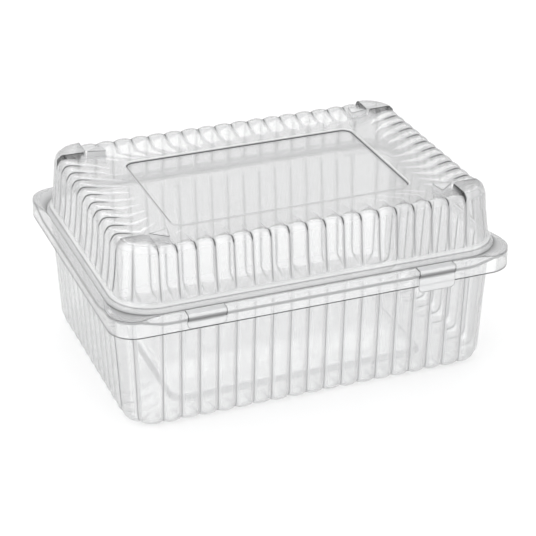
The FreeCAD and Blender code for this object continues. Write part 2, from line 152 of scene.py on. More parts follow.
# %% Rounded sections
def rounded_run(points, steps=4):
    """points are (reach, height, depth, corner radius, mark). Returns rows with each corner rounded."""
    rows = []
    for i, (reach, height, depth, radius, mark) in enumerate(points):
        here = Vector((reach, height))
        if radius == 0 or i in (0, len(points) - 1):
            rows.append((here, depth, mark))
            continue
        before = Vector(points[i - 1][:2]) - here
        after = Vector(points[i + 1][:2]) - here
        start = here + before.normalized() * min(radius, before.length * 0.49)
        end = here + after.normalized() * min(radius, after.length * 0.49)
        for k in range(steps + 1):
            t = k / steps
            spot = start * (1 - t) ** 2 + here * 2 * t * (1 - t) + end * t ** 2
            rows.append((spot, depth, mark))
    return rows


ONE_CORNER = [(0, 0, 0, 0, ""), (1, 0, 0, 0.4, ""), (1, 1, 0, 0, "")]
print("rows that one rounded corner becomes:", len(rounded_run(ONE_CORNER)) - 2)


def facing(rows, side):
    """Adds the way each row's sheet faces, square to the run. side is 1 or -1."""
    faced = []
    for i, (spot, depth, mark) in enumerate(rows):
        before = rows[max(i - 1, 0)][0]
        after = rows[min(i + 1, len(rows) - 1)][0]
        run = after - before
        run = run.normalized() if run.length > 1e-9 else Vector((-1, 0))
        faced.append((spot, depth, mark, side * run.y, -side * run.x))
    return faced


def smooth_step(low, high, value):
    t = min(max((value - low) / (high - low), 0.0), 1.0)
    return t * t * (3 - 2 * t)


# %% [markdown]
# ## The rule that ribs the sheet
#
# The ribs repeat all round, so a Geometry Nodes tree makes them. Each point of the plain net carries its
# anchor on the core, its direction, reach, height, crease depth and share of the rib. The tree pushes the
# point in by the crease depth, by a rounded law that is nought at the crown and one at the creases, and
# moves the points of the second skin in by the sheet's thickness. It also writes a crease value on each
# point, which the finish uses to paint shade along the creases. A modelled rib could be copied along a path
# instead, but then it would be hard to let the ribs fade, turn over the shoulder and go round the corners
# in one closed sheet.


# %% Geometry Nodes tree for the ribs
LINE_THINNESS = 10.0
WELD = 1e-6


def named(tree, name, kind="FLOAT"):
    node = tree.nodes.new("GeometryNodeInputNamedAttribute")
    node.data_type = kind
    node.inputs["Name"].default_value = name
    return node.outputs["Attribute"]


def maths(tree, operation, a, b=None):
    node = tree.nodes.new("ShaderNodeMath")
    node.operation = operation
    for socket, value in zip(node.inputs, (a, b)):
        if value is None:
            continue
        if isinstance(value, (int, float)):
            socket.default_value = value
        else:
            tree.links.new(value, socket)
    return node.outputs[0]


def rib_tree():
    tree = bpy.data.node_groups.new("Ribbed sheet", "GeometryNodeTree")
    face = tree.interface
    face.new_socket("Net", in_out="INPUT", socket_type="NodeSocketGeometry")
    face.new_socket("Rib depth", in_out="INPUT", socket_type="NodeSocketFloat")
    face.new_socket("Crown roundness", in_out="INPUT", socket_type="NodeSocketFloat")
    face.new_socket("Sheet thickness", in_out="INPUT", socket_type="NodeSocketFloat")
    face.new_socket("Finish", in_out="INPUT", socket_type="NodeSocketMaterial")
    face.new_socket("Sheet", in_out="OUTPUT", socket_type="NodeSocketGeometry")
    start = tree.nodes.new("NodeGroupInput")
    end = tree.nodes.new("NodeGroupOutput")

    doubled = maths(tree, "MULTIPLY", named(tree, "share"), 2.0)
    centred = maths(tree, "ABSOLUTE", maths(tree, "SUBTRACT", doubled, 1.0))
    law = maths(tree, "POWER", centred, start.outputs["Crown roundness"])
    faded = maths(tree, "MULTIPLY", law, named(tree, "depth"))
    drop = maths(tree, "MULTIPLY", faded, start.outputs["Rib depth"])
    skin = maths(tree, "MULTIPLY", named(tree, "skin"), start.outputs["Sheet thickness"])
    inward = maths(tree, "ADD", drop, skin)
    back = maths(tree, "MULTIPLY", inward, named(tree, "out"))
    down = maths(tree, "MULTIPLY", inward, named(tree, "up"))
    reach = maths(tree, "SUBTRACT", named(tree, "reach"), back)
    height = maths(tree, "SUBTRACT", named(tree, "height"), down)

    push = tree.nodes.new("ShaderNodeVectorMath")
    push.operation = "MULTIPLY_ADD"
    tree.links.new(named(tree, "away", "FLOAT_VECTOR"), push.inputs[0])
    tree.links.new(reach, push.inputs[1])
    tree.links.new(named(tree, "anchor", "FLOAT_VECTOR"), push.inputs[2])
    lift = tree.nodes.new("ShaderNodeCombineXYZ")
    tree.links.new(height, lift.inputs["Z"])
    place = tree.nodes.new("ShaderNodeVectorMath")
    tree.links.new(push.outputs[0], place.inputs[0])
    tree.links.new(lift.outputs[0], place.inputs[1])

    # The crease value is a mask for painted shade along the creases.
    line = tree.nodes.new("GeometryNodeStoreNamedAttribute")
    line.data_type, line.domain = "FLOAT", "POINT"
    line.inputs["Name"].default_value = "crease"
    tree.links.new(start.outputs["Net"], line.inputs["Geometry"])
    sharp = maths(tree, "MULTIPLY", maths(tree, "POWER", centred, LINE_THINNESS), named(tree, "depth"))
    tree.links.new(sharp, line.inputs["Value"])

    move = tree.nodes.new("GeometryNodeSetPosition")
    tree.links.new(line.outputs["Geometry"], move.inputs["Geometry"])
    tree.links.new(place.outputs[0], move.inputs["Position"])
    weld = tree.nodes.new("GeometryNodeMergeByDistance")
    weld.inputs["Distance"].default_value = WELD
    tree.links.new(move.outputs["Geometry"], weld.inputs["Geometry"])
    realize = tree.nodes.new("GeometryNodeRealizeInstances")
    tree.links.new(weld.outputs["Geometry"], realize.inputs["Geometry"])
    finish = tree.nodes.new("GeometryNodeSetMaterial")
    tree.links.new(realize.outputs["Geometry"], finish.inputs["Geometry"])
    tree.links.new(start.outputs["Finish"], finish.inputs["Material"])
    tree.links.new(finish.outputs["Geometry"], end.inputs["Sheet"])
    return tree


RIB_TREE = rib_tree()
print("nodes in the rib tree:", len(RIB_TREE.nodes))

# %% [markdown]
# ## A net of points with closed seams
#
# The net has two skins, an outer and an inner, with the same columns and rows. Strips of quads join the
# rows, one strip closes the free edge, and one many-sided face on each skin closes the middle. So the sheet
# is a closed solid, as the real one is. A Solidify modifier could add the thickness, but the tree can do it
# in the same step as the ribs.

# %% Build the plain net
CROWN_ROUNDNESS, SHARP_ANGLE = 2.5, math.radians(34)
# Of these, shine carries painted highlights, and shade and the last one carry painted shade.
FLOATS = ("share", "depth", "skin", "reach", "height", "out", "up", "shine", "shade", "crease_shade")


def plain_net(name, sections, flip):
    """sections gives, for each column, its rows as dictionaries. Returns a mesh with two skins."""
    rows, turns = len(sections[0]), len(sections)
    data = {key: [] for key in FLOATS}
    anchors, aways = [], []
    for skin in (0.0, 1.0):
        for column, section in zip(COLUMNS, sections):
            for row in section:
                for key in FLOATS:
                    data[key].append(row.get(key, 0.0))
                data["skin"][-1] = skin
                data["share"][-1] = column.share
                anchors += [*row.get("anchor", column.anchor), 0.0]
                aways += [*column.away, 0.0]

    def spot(skin, turn, row):
        return (skin * turns + turn % turns) * rows + row

    faces = []
    for skin in (0, 1):
        forward = (skin == 0) != flip
        for turn in range(turns):
            for row in range(rows - 1):
                quad = [spot(skin, turn, row), spot(skin, turn + 1, row),
                        spot(skin, turn + 1, row + 1), spot(skin, turn, row + 1)]
                faces.append(quad if forward else quad[::-1])
        middle = [spot(skin, turn, rows - 1) for turn in range(turns)]
        faces.append(middle if forward else middle[::-1])
    for turn in range(turns):
        quad = [spot(1, turn, 0), spot(1, turn + 1, 0), spot(0, turn + 1, 0), spot(0, turn, 0)]
        faces.append(quad[::-1] if flip else quad)
    mesh = bpy.data.meshes.new(name)
    mesh.from_pydata([(0, 0, 0)] * (2 * rows * turns), [], faces)
    for key in FLOATS:
        mesh.attributes.new(key, "FLOAT", "POINT").data.foreach_set("value", data[key])
    for key, values in (("anchor", anchors), ("away", aways)):
        mesh.attributes.new(key, "FLOAT_VECTOR", "POINT").data.foreach_set("vector", values)
    return mesh


def ribbed_piece(name, sections, flip, finish):
    """Runs the rib tree on a net and keeps the result as a plain mesh."""
    net = bpy.data.objects.new(name + "_net", plain_net(name + "_net", sections, flip))
    bpy.context.collection.objects.link(net)
    modifier = net.modifiers.new("ribs", "NODES")
    modifier.node_group = RIB_TREE
    values = {"Rib depth": RIB_DEPTH, "Crown roundness": CROWN_ROUNDNESS,
              "Sheet thickness": WALL, "Finish": finish}
    for item in RIB_TREE.interface.items_tree:
        if item.in_out == "INPUT" and item.name in values:
            modifier[item.identifier] = values[item.name]
    bpy.context.view_layer.update()
    shown = net.evaluated_get(bpy.context.evaluated_depsgraph_get())
    mesh = bpy.data.meshes.new_from_object(shown)
    bpy.data.objects.remove(net)
    mesh.name = name
    for key in ("share", "depth", "reach", "height", "out", "up", "anchor", "away"):
        if key in mesh.attributes:
            mesh.attributes.remove(mesh.attributes[key])
    for polygon in mesh.polygons:
        polygon.use_smooth = True
    mesh.set_sharp_from_angle(angle=SHARP_ANGLE)
    piece = bpy.data.objects.new(name, mesh)
    bpy.context.collection.objects.link(piece)
    print(name, "triangles", sum(len(p.vertices) - 2 for p in mesh.polygons))
    return piece


# %% [markdown]
# ## The clear plastic finish
#
# Clear sheet shows itself in three ways. It greys what is behind it a little, more where it is seen from
# the edge. It mirrors the lights. And where it bends sharply, at creases and rims, it shows a thin dark line
# with a bright one near it. A node group works out the colour, how solid the sheet looks and a gentle
# waviness, from the attributes of the net and from noise on object coordinates. The shaders and the Layer
# Weight stay in each material. Real refraction could be traced instead, but many thin walls behind each
# other can come out dark and noisy that way. So the sheet is part see-through without bending the light,
# its dark and bright lines are painted from the attributes, and over half of the shadow and scattered light
# passes straight through it.


# %% Shared sheet group
# The dark grey is the colour of the painted shade lines, and of the greying seen edge-on.
SHEET_GREY, PAINTED_SHADE_GREY = (0.79, 0.795, 0.80, 1), (0.02, 0.021, 0.022, 1)
# The first number is the painted shade that every crease gets, before each row's extra.
CREASE_SHADE, CLOUD, EDGE_GREY = 0.7, 0.06, 0.5
STREAK_SCALE = (120, 120, 26)
WAVE_HEIGHT = 0.0006


def shader_maths(nodes, links, operation, a, b=None, clamp=False):
    node = nodes.new("ShaderNodeMath")
    node.operation, node.use_clamp = operation, clamp
    for socket, value in zip(node.inputs, (a, b)):
        if value is None:
            continue
        if isinstance(value, (int, float)):
            socket.default_value = value
        else:
            links.new(value, socket)
    return node.outputs[0]


def sheet_group():
    group = bpy.data.node_groups.new("Clear sheet look", "ShaderNodeTree")
    for name, value in (("Haze", 0.28), ("Line", 1.0), ("Shine", 0.35), ("Edge-on", 0.2), ("Facing", 0.0),
                        ("Inner share", 0.35), ("Waviness", 0.2)):
        socket = group.interface.new_socket(name, in_out="INPUT", socket_type="NodeSocketFloat")
        socket.default_value = value
    group.interface.new_socket("Color", in_out="OUTPUT", socket_type="NodeSocketColor")
    group.interface.new_socket("Solid", in_out="OUTPUT", socket_type="NodeSocketFloat")
    group.interface.new_socket("Normal", in_out="OUTPUT", socket_type="NodeSocketVector")
    nodes, links = group.nodes, group.links
    start, end = nodes.new("NodeGroupInput"), nodes.new("NodeGroupOutput")

    def attribute(name):
        node = nodes.new("ShaderNodeAttribute")
        node.attribute_name = name
        return node.outputs["Fac"]

    def sums(operation, a, b=None, clamp=False):
        return shader_maths(nodes, links, operation, a, b, clamp)

    place = nodes.new("ShaderNodeTexCoord")
    stretch = nodes.new("ShaderNodeMapping")
    stretch.inputs["Scale"].default_value = STREAK_SCALE
    links.new(place.outputs["Object"], stretch.inputs["Vector"])
    streak = nodes.new("ShaderNodeTexNoise")
    streak.inputs["Scale"].default_value = 1.0
    streak.inputs["Detail"].default_value = 3.0
    links.new(stretch.outputs[0], streak.inputs["Vector"])

    # Painted shade: the crease lines and the shade attribute darken the colour towards the dark grey and
    # make the sheet more solid.
    crease_shade = sums("ADD", attribute("crease_shade"), CREASE_SHADE)
    lines = sums("MULTIPLY", sums("MULTIPLY", attribute("crease"), crease_shade), start.outputs["Line"])
    shades = sums("ADD", lines, attribute("shade"), True)
    # Painted highlight: the shine attribute mixes the colour towards white and makes the sheet more solid.
    shine = sums("MULTIPLY", attribute("shine"), start.outputs["Shine"], True)
    cloud = sums("MULTIPLY", sums("SUBTRACT", streak.outputs["Fac"], 0.5), CLOUD)
    edge_on = sums("MULTIPLY", start.outputs["Facing"], start.outputs["Edge-on"])
    solid = sums("ADD", sums("ADD", start.outputs["Haze"], cloud), edge_on)
    solid = sums("ADD", solid, sums("ADD", shades, shine), True)
    inner = sums("MULTIPLY_ADD", attribute("skin"), sums("SUBTRACT", start.outputs["Inner share"], 1.0))
    inner.node.inputs[2].default_value = 1.0
    links.new(sums("MULTIPLY", solid, inner, True), end.inputs["Solid"])

    grey = nodes.new("ShaderNodeMix")
    grey.data_type = "RGBA"
    grey.inputs["A"].default_value = SHEET_GREY
    grey.inputs["B"].default_value = PAINTED_SHADE_GREY
    links.new(sums("ADD", shades, sums("MULTIPLY", edge_on, EDGE_GREY), True), grey.inputs["Factor"])
    white = nodes.new("ShaderNodeMix")
    white.data_type = "RGBA"
    white.inputs["B"].default_value = (1, 1, 1, 1)
    links.new(grey.outputs["Result"], white.inputs["A"])
    links.new(sums("MULTIPLY", shine, 1.6, True), white.inputs["Factor"])
    links.new(white.outputs["Result"], end.inputs["Color"])

    bump = nodes.new("ShaderNodeBump")
    bump.inputs["Distance"].default_value = WAVE_HEIGHT
    links.new(start.outputs["Waviness"], bump.inputs["Strength"])
    links.new(streak.outputs["Fac"], bump.inputs["Height"])
    links.new(bump.outputs["Normal"], end.inputs["Normal"])
    return group


SHEET_GROUP = sheet_group()
print("nodes in the sheet group:", len(SHEET_GROUP.nodes))


MIRROR_SHARE, SCATTERED_THROUGH = 0.6, 0.6


def clear_sheet(name, glow=0.03, **values):
    """A clear sheet. glow is a faint light of its own, which stands in for light caught inside the sheet.
    values go to the shared group's inputs."""
    material = bpy.data.materials.new(name)
    material.use_nodes = True
    nodes, links = material.node_tree.nodes, material.node_tree.links
    body = nodes["Principled BSDF"]
    output = nodes["Material Output"]
    look = nodes.new("ShaderNodeGroup")
    look.node_tree = SHEET_GROUP
    for key, value in values.items():
        look.inputs[key].default_value = value
    weight = nodes.new("ShaderNodeLayerWeight")
    weight.inputs["Blend"].default_value = 0.35
    steep = shader_maths(nodes, links, "POWER", weight.outputs["Facing"], 3.0)
    links.new(steep, look.inputs["Facing"])
    links.new(look.outputs["Color"], body.inputs["Base Color"])
    links.new(look.outputs["Solid"], body.inputs["Alpha"])
    links.new(look.outputs["Normal"], body.inputs["Normal"])
    body.inputs["Roughness"].default_value = 0.12
    body.inputs["IOR"].default_value = 1.5
    gloss = nodes.new("ShaderNodeBsdfGlossy")
    gloss.inputs["Roughness"].default_value = 0.06
    links.new(look.outputs["Normal"], gloss.inputs["Normal"])
    mirror = nodes.new("ShaderNodeFresnel")
    mirror.inputs["IOR"].default_value = 1.4
    share = shader_maths(nodes, links, "MULTIPLY", mirror.outputs[0], MIRROR_SHARE)
    coat = nodes.new("ShaderNodeMixShader")
    links.new(share, coat.inputs[0])
    links.new(body.outputs[0], coat.inputs[1])
    links.new(gloss.outputs[0], coat.inputs[2])
    links.new(look.outputs["Color"], body.inputs["Emission Color"])
    body.inputs["Emission Strength"].default_value = glow
    path = nodes.new("ShaderNodeLightPath")
    shadow, diffuse = path.outputs["Is Shadow Ray"], path.outputs["Is Diffuse Ray"]
    spread = shader_maths(nodes, links, "MAXIMUM", shadow, diffuse)
    passing = nodes.new("ShaderNodeMixShader")
    links.new(shader_maths(nodes, links, "MULTIPLY", spread, SCATTERED_THROUGH), passing.inputs[0])
    links.new(coat.outputs[0], passing.inputs[1])
    links.new(nodes.new("ShaderNodeBsdfTransparent").outputs[0], passing.inputs[2])
    links.new(passing.outputs[0], output.inputs["Surface"])
    return material


LID_SHEET = clear_sheet("lid_sheet")
BASE_SHEET = clear_sheet("base_sheet", glow=0.24)
LATCH_SHEET = clear_sheet("latch_sheet", glow=0.1, Haze=0.4)
print("finishes:", [sheet.name for sheet in (LID_SHEET, BASE_SHEET, LATCH_SHEET)])

# %% [markdown]
# ## The lid
#
# The lid's section starts with a narrow flange that lies over the base's rim. It rises in a small fold,
# climbs the ribbed dome, turns over the shoulder and runs in to a sunk panel. At the corners the ribs run on
# up into stacking lugs with a flat top, so the corner columns follow a second section. The lugs could be
# separate blocks let into the dome, but as rows of the same net they stay one closed sheet, so both sections
# have the same number of rows.

# %% Lid sections
PANEL_X, PANEL_Y, PANEL_CORNER = 67.7 * MM, 42.6 * MM, 6 * MM
LID_FOOT, LID_SHOULDER, LID_TURN = 21.0 * MM, 18.0 * MM, 4.6 * MM
PANEL_STEP = (  # inset and drop in mm, shine, shade
    (-1.2, 0, 0, 0), (-0.5, 0, 0.5, 0), (0, 0.1, 0.3, 0.2), (0.35, 0.9, 0, 1.0), (0.75, 1.0, 0, 1.0),
    (1.3, 1.0, 0, 0),
)


def panel_spot(column, inset=0.0, half_x=PANEL_X, half_y=PANEL_Y, radius=PANEL_CORNER, further=0.0):
    """The place on a rounded rectangle that belongs to a column. Behind the core it reaches further."""
    quarter = column.quarter
    run, deep = (half_x, half_y) if quarter % 2 == 0 else (half_y, half_x)
    run, deep, radius = run - inset, deep - inset, radius - inset
    if column.corner:
        u = run - radius + radius * math.sin(column.angle)
        v = -(deep - radius) - radius * math.cos(column.angle)
    else:
        u, v = column.along / column.half_run * (run - radius), -deep
    cos, sin = math.cos(quarter * math.pi / 2), math.sin(quarter * math.pi / 2)
    x, y = u * cos - v * sin, u * sin + v * cos
    return (x, y + CORE_MID_Y + (further if y > 0 else 0.0))


def rim_spot(column, inset):
    """The place on the rim's outer edge, or that far inside it, that belongs to a column."""
    return panel_spot(column, inset, CORE_X + RIM_REACH, CORE_Y + RIM_REACH, RIM_CORNER, HINGE_REACH)


STEP_FRONT, STEP_SIDE = 79 * MM, 45 * MM


def rim_step(column):
    """How far the rim's edge is stepped down, 0 at the ears and behind, 1 between the ears."""
    if column.corner or column.quarter == 2:
        return 0.0
    half = STEP_FRONT if column.quarter == 0 else STEP_SIDE
    return 1 - smooth_step(half - 6 * MM, half + 9 * MM, abs(column.along))


# By the mark of a row: painted highlights, painted shade lines, and extra painted shade in the creases.
LID_SHINES = {"shoulder": 0.12, "foot": 0.6, "cap": 0.2}
LID_SHADES = {"edge": 0.8, "rim": 0.2, "fold": 0.9}
LID_CREASE_SHADE = {"shoulder": 0.8, "cap": 0.5, "top": 0.5}
SIDE_CREASE_SHADE = 0.7


def side_crease_shade(column):
    """Extra painted shade for the creases of the two short sides. The camera sees those at a slant,
    where the crowns half hide them, and at the strength of the long sides they would hardly show."""
    return SIDE_CREASE_SHADE if column.quarter % 2 and not column.corner else 0.0


def lid_section(column):
    wall = [
        (EDGE_REACH - 0.1 * MM, LID_LOW + 0.4 * MM, 0, 0, "edge"),
        (EDGE_REACH - 0.6 * MM, LID_LOW + 1.8 * MM, 0, 0.6 * MM, "rim"),
        (LID_FOOT + 1.3 * MM, LID_LOW + 2.75 * MM, 0, 0, "slope"),
        (LID_FOOT + 1.05 * MM, LID_LOW + 3.05 * MM, 0, 0, "fold"),
        (LID_FOOT + 0.8 * MM, LID_LOW + 3.35 * MM, 0, 0, "slope"),
        (LID_FOOT + 0.3 * MM, LID_LOW + 3.9 * MM, 0, 0.4 * MM, "foot"),
        (LID_FOOT - 0.4 * MM, LID_LOW + 4.3 * MM, 0.15, 0, "foot"),
        (LID_FOOT - 0.55 * MM, LID_LOW + 5.4 * MM, 0.7, 0, "wall"),
        (LID_FOOT - 0.7 * MM, LID_LOW + 7.2 * MM, 1, 0, "wall"),
        (LID_FOOT - 1.5 * MM, LID_LOW + 13 * MM, 1, 0, "wall"),
        (LID_FOOT - 2.3 * MM, LID_LOW + 20 * MM, 1, 0, "wall"),
    ]
    if column.corner:
        top = [
            (LID_SHOULDER - 0.1 * MM, CROWN - 4 * MM, 0.8, 1 * MM, "wall"),
            (LID_SHOULDER - 1.5 * MM, LUG_TOP - 1.2 * MM, 0.4, 1.5 * MM, "cap"),
            (LID_SHOULDER - 4.5 * MM, LUG_TOP, 0, 1 * MM, "top"),
            (8 * MM, LUG_TOP - 0.1 * MM, 0, 0, "top"),
            (1.6 * MM, LUG_TOP - 0.2 * MM, 0, 0.4 * MM, "notch"),
            (0.4 * MM, FLAT_TOP, 0, 0, "flat"),
        ]
    else:
        fade = 14 * MM if column.quarter % 2 else 11 * MM
        top = [
            (LID_SHOULDER, CROWN - LID_TURN, 1, 1.2 * MM, "wall"),
            (LID_SHOULDER - LID_TURN * 0.55, CROWN - LID_TURN * 0.10, 1, 2.2 * MM, "shoulder"),
            (LID_SHOULDER - 6 * MM, CROWN - 0.15 * MM, 0.95, 1 * MM, "top"),
            (LID_SHOULDER - fade + 3 * MM, CROWN - 1.2 * MM, 0.75, 0, "top"),
            (4.5 * MM, CROWN - 1.9 * MM, 0.5, 0.4 * MM, "flat"),
            (0.4 * MM, CROWN - 2.5 * MM, 0.25, 0, "flat"),
        ]
    rows = []
    ear = 1 - rim_step(column)
    inner_edge = rim_spot(column, RIM_STEP + 0.4 * MM * (1 - ear))
    outer_edge = rim_spot(column, RIM_STEP * (1 - ear) + 0.2 * MM)
    for share, shade in ((0.0, 0.8), (0.2, 0.0), (1.0, 0.0)):
        spot = tuple(Vector((*outer_edge, 0)).lerp(Vector((*inner_edge, 0)), share).xy)
        rows.append({"anchor": spot, "height": LID_LOW + WALL, "up": 1.0, "shade": shade})
    seam = column.corner and (column.angle == 0.0 or column.share == 1.0 and column.angle > 1.5)
    for spot, depth, mark, out, up in facing(rounded_run(wall + top), 1):
        row = {"reach": spot.x, "height": spot.y, "depth": depth, "out": out, "up": up,
               "shine": LID_SHINES.get(mark, 0.0), "shade": LID_SHADES.get(mark, 0.0),
               "crease_shade": LID_CREASE_SHADE.get(mark, 0.0) + side_crease_shade(column)}
        if seam and mark in ("cap", "top", "notch"):
            row["shade"] = 1.0
        elif column.corner and mark == "notch":
            row["shade"] = 0.5
        rows.append(row)
    rows[-1]["out"], rows[-1]["up"] = 0.0, 1.0
    start = Vector(column.anchor) + Vector(column.away) * 0.4 * MM
    sunk = (0, 0) if column.corner else (0.12, 0.03)
    for share, depth in zip((0.35, 0.7), sunk):
        spot = start.lerp(Vector(panel_spot(column)), share)
        height = FLAT_TOP + (rows[-1]["height"] - FLAT_TOP) * (0.4 if share < 0.5 else 0.15)
        rows.append({"anchor": tuple(spot), "height": height, "up": 1.0, "depth": depth})
    for inset, sunk, shine, shade in PANEL_STEP:
        rows.append({"anchor": panel_spot(column, inset * MM), "height": FLAT_TOP - sunk * MM, "up": 1.0,
                     "shine": shine, "shade": shade})
    return rows


lid_shell = ribbed_piece("lid_shell", [lid_section(c) for c in COLUMNS], False, LID_SHEET)

# %% [markdown]
# ## The base tray
#
# The base's section starts at the bottom of the skirt, goes up and over the rim and down the ribbed wall,
# turns under with the ribs, and runs in to a raised floor panel. Between the corner ears the rim's outer
# edge is stepped down, and at the back the skirt is cut short where the hinge is. Both change smoothly along
# a side, which is why they are worked out for each column: cutting them out of a finished skirt would leave
# hard corners that a drawn sheet doesn't have.

# %% Base sections
BASE_TOP, BASE_FOOT, BASE_TURN = 22.0 * MM, 18.5 * MM, 6 * MM
FLOOR_X, FLOOR_Y, FLOOR_CORNER = 73.5 * MM, 52 * MM, 8 * MM
FLOOR_STEP = ((-1.0, 0, 0), (0, 0.3, 0.5), (1.2, 2.7, 0.5), (2.4, 3.0, 0))  # inset and lift in mm, shade
HINGE_HALF = 70 * MM
BASE_SHADES = {"rim": 0.6, "step": 0.05, "hem": 1.0, "turn": 0.05}


def hinge_share(column):
    """1 where the hinge takes the skirt's place, 0 elsewhere."""
    if column.corner or column.quarter != 2:
        return 0.0
    return 1 - smooth_step(HINGE_HALF + 1 * MM, HINGE_HALF + 6 * MM, abs(column.along))


def base_section(column):
    step, hinge = rim_step(column), hinge_share(column)
    inner = RIM_REACH - WALL
    low = SKIRT_LOW + (RIM_TOP - 1.2 * MM - SKIRT_LOW) * hinge
    outer = RIM_TOP - WALL - RIM_STEP * step
    rim = [
        (inner, low, 0, 0, "hem"),
        (inner, low + 0.25 * MM, 0, 0, "hem"),
        (inner, low + 0.6 * MM, 0, 0, "skirt"),
        (inner, (low + outer) / 2, 0, 0, "skirt"),
        (inner, outer - 1.1 * MM, 0, 0, "skirt"),
        (inner, outer, 0, 0.5 * MM, "rim"),
        (inner - 0.9 * MM, outer + (RIM_TOP - WALL - outer) * 0.25, 0, 0, "slope"),
        (EDGE_REACH - 0.2 * MM, RIM_TOP - WALL, 0, 0.6 * MM, "step"),
        (BASE_TOP + 1.0 * MM, RIM_TOP - WALL, 0, 0, "land"),
    ]
    points = [
        (BASE_TOP + 0.6 * MM, RIM_TOP - WALL, 0, 0, "land"),
        (BASE_TOP - 0.1 * MM, RIM_TOP - WALL, 0, 0.4 * MM, "land"),
        (BASE_TOP - 0.3 * MM, RIM_TOP - 2.4 * MM, 0.5, 0, "wall"),
        (BASE_TOP - 0.5 * MM, RIM_TOP - 4.5 * MM, 1, 0, "wall"),
        (BASE_TOP - 1.2 * MM, RIM_TOP - 18 * MM, 1, 0, "wall"),
        (BASE_TOP - 2.1 * MM, RIM_TOP - 34 * MM, 1, 0, "wall"),
        (BASE_FOOT + 0.4 * MM, BASE_TURN + 8 * MM, 1, 0, "wall"),
        (BASE_FOOT, BASE_TURN, 1, 0.6 * MM, "wall"),
        (BASE_FOOT - BASE_TURN * 0.10, BASE_TURN * 0.5, 1, 1 * MM, "turn"),
        (BASE_FOOT - BASE_TURN * 0.45, BASE_TURN * 0.12, 1, 1 * MM, "turn"),
        (BASE_FOOT - BASE_TURN, 0.0, 1, 0.5 * MM, "turn"),
        (6 * MM, 0.0, 0.45, 0, "under"),
        (2 * MM, 0.0, 0, 0, "under"),
    ]
    rows = []
    for spot, depth, mark, out, up in facing(rounded_run(rim), -1)[:-1]:
        edge = Vector(rim_spot(column, RIM_REACH - spot.x))
        rows.append({"anchor": tuple(edge), "height": spot.y, "out": out, "up": up,
                     "shade": BASE_SHADES.get(mark, 0.0)})
    rows[0]["out"], rows[0]["up"] = -1.0, 0.0
    for spot, depth, mark, out, up in facing(rounded_run(points), -1):
        rows.append({"reach": spot.x, "height": spot.y, "depth": depth, "out": out, "up": up,
                     "shade": BASE_SHADES.get(mark, 0.0), "crease_shade": side_crease_shade(column)})
    rows[-1]["out"], rows[-1]["up"] = 0.0, -1.0
    for inset, lift, shade in FLOOR_STEP:
        spot = panel_spot(column, inset * MM, FLOOR_X, FLOOR_Y, FLOOR_CORNER)
        rows.append({"anchor": spot, "height": lift * MM, "up": -1.0, "shade": shade})
    return rows


base_shell = ribbed_piece("base_shell", [base_section(c) for c in COLUMNS], True, BASE_SHEET)

# %% [markdown]
# ## Extruded strips
#
# The latch tabs, the living hinge and the inner halves of the stacking lugs are small folded pieces. Each
# is an outline drawn in one plane and given a length or a height, built point by point, with closed ends.
# A bent plane with a thickness could do as well, but an outline keeps each fold where the frame has it.


# %% Solid from an outline
def prism(name, outline, lift, finish, stops=(0.0, 1.0), shades=(0.0, 0.0)):
    """A closed solid. lift turns (point, stop) into a place. shades paints shade on whole rings, one value
    for each stop, and a third number in a point paints shade on that point."""
    count = len(outline)
    places = [lift(p, stop) for stop in stops for p in outline]
    last = (len(stops) - 1) * count
    faces = [list(range(count))[::-1], list(range(last, last + count))]
    for ring in range(0, last, count):
        faces += [[ring + i, ring + (i + 1) % count, ring + count + (i + 1) % count, ring + count + i]
                  for i in range(count)]
    mesh = bpy.data.meshes.new(name)
    mesh.from_pydata(places, [], faces)
    mesh.materials.append(finish)
    shade = [max(value, *point[2:], 0.0) for value in shades for point in outline]
    mesh.attributes.new("shade", "FLOAT", "POINT").data.foreach_set("value", shade)
    shape = bmesh.new()
    shape.from_mesh(mesh)
    bmesh.ops.recalc_face_normals(shape, faces=shape.faces)
    shape.to_mesh(mesh)
    shape.free()
    piece = bpy.data.objects.new(name, mesh)
    bpy.context.collection.objects.link(piece)
    return piece


def rounded_outline(half_x, low, high, radius, steps=5):
    """An upright plate's outline, round at its lower corners."""
    points = [(-half_x, high)]
    for side, start in ((-1, 180), (1, 270)):
        for k in range(steps + 1):
            a = math.radians(start + 90 * k / steps)
            x = side * (half_x - radius) + radius * math.cos(a)
            points.append((x, low + radius + radius * math.sin(a)))
    return points + [(half_x, high)]


# %% [markdown]
# ## Stacking lugs, inner halves
#
# Each corner has a small triangular lug on the flat top, with its point at the core's corner. The real one
# is drawn up out of the sheet and is hollow below. Here it is a closed block that stands on the flat top:
# the block shows the lug's outline and its edges, and it needs no hole in the lid's net.


# %% Inner lugs
def lug(index, side_x, side_y):
    ring = [(-0.5 * MM, 0.2 * MM), (-10.2 * MM, -2.6 * MM), (-10.8 * MM, -2.2 * MM), (-11.2 * MM, -1.4 * MM),
            (-9.6 * MM, 6.6 * MM), (-9.2 * MM, 7.2 * MM), (-8.6 * MM, 7.0 * MM)]
    if side_x * side_y < 0:
        ring = ring[::-1]
    centre = Vector((-6.5 * MM, 1.5 * MM))
    levels = {
        0.0: (1.04, FLAT_TOP - 0.1 * MM), 0.1: (1.0, FLAT_TOP + 0.6 * MM), 0.9: (0.97, LUG_TOP - 0.6 * MM),
        0.95: (0.95, LUG_TOP - 0.1 * MM), 1.0: (0.86, LUG_TOP),
    }

    def lift(point, stop):
        grow, height = levels[stop]
        spot = centre + (Vector(point) - centre) * grow
        return (side_x * (CORE_X + spot.x), CORE_MID_Y + side_y * (CORE_Y + spot.y), height)

    # Painted shade rings at the lug's foot and along its top edge draw its edges.
    return prism(f"lid_lug_{index}", ring, lift, LID_SHEET, list(levels), (0.6, 0.0, 0.1, 1.0, 0.0))


